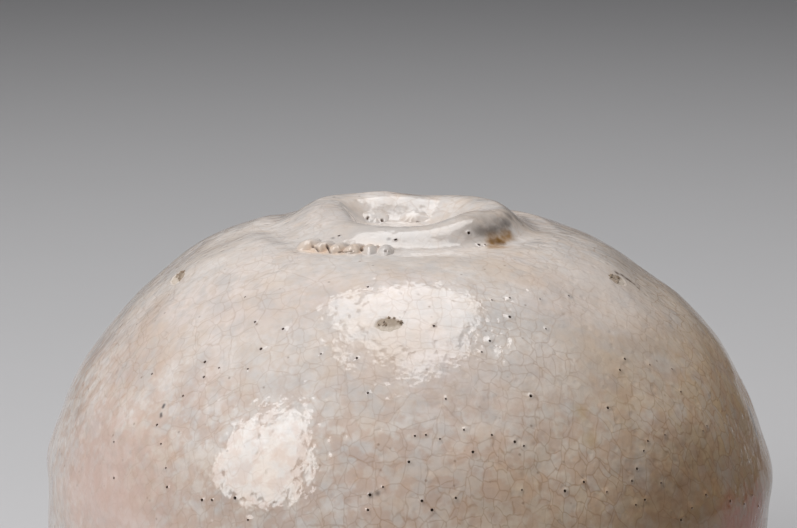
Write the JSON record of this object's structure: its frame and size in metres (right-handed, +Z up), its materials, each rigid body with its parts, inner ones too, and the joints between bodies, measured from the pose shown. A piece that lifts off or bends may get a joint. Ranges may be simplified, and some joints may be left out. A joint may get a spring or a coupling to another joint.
{
  "type": "raku tea bowl",
  "caption": "Hand-formed white-glazed raku tea bowl, stored mouth down, with a worn foot ring, crawled glaze beads and kiln spur scars; holds whisked tea when turned upright.",
  "frame": {"origin": "middle of the mouth, on the plane that the lip stands on", "axes": "stored mouth down as pictured: +Z is up from the lip to the foot ring, -Y faces the worn front of the foot, +X is to its right; half a turn about X sets the bowl upright on its foot for use"},
  "size_m": [0.1198, 0.1202, 0.0809],
  "materials": {
    "white_glaze": "glossy, crazed off-white glaze with pinholes, beige and grey clouds and a blush of pink",
    "raku_clay": "porous low-fired clay, matt, buff to pink",
    "spur_grit": "rough fired grit, matt grey-brown"
  },
  "bodies": {
    "root": {"clay_body": "raku_clay", "foot_coil": "raku_clay", "outer_glaze": "white_glaze", "lip_glaze": "white_glaze", "inner_glaze": "white_glaze", "foot_glaze": "white_glaze", "well_glaze": "white_glaze", "root_bead_1": "white_glaze", "root_bead_2": "white_glaze", "root_bead_3": "white_glaze", "root_bead_4": "white_glaze", "root_bead_5": "white_glaze", "root_bead_6": "white_glaze", "well_bead_1": "white_glaze", "well_bead_2": "white_glaze", "spur_grit_1": "spur_grit", "spur_grit_2": "spur_grit", "spur_grit_3": "spur_grit", "spur_grit_4": "spur_grit", "spur_grit_5": "spur_grit"}
  },
  "joints": []
}
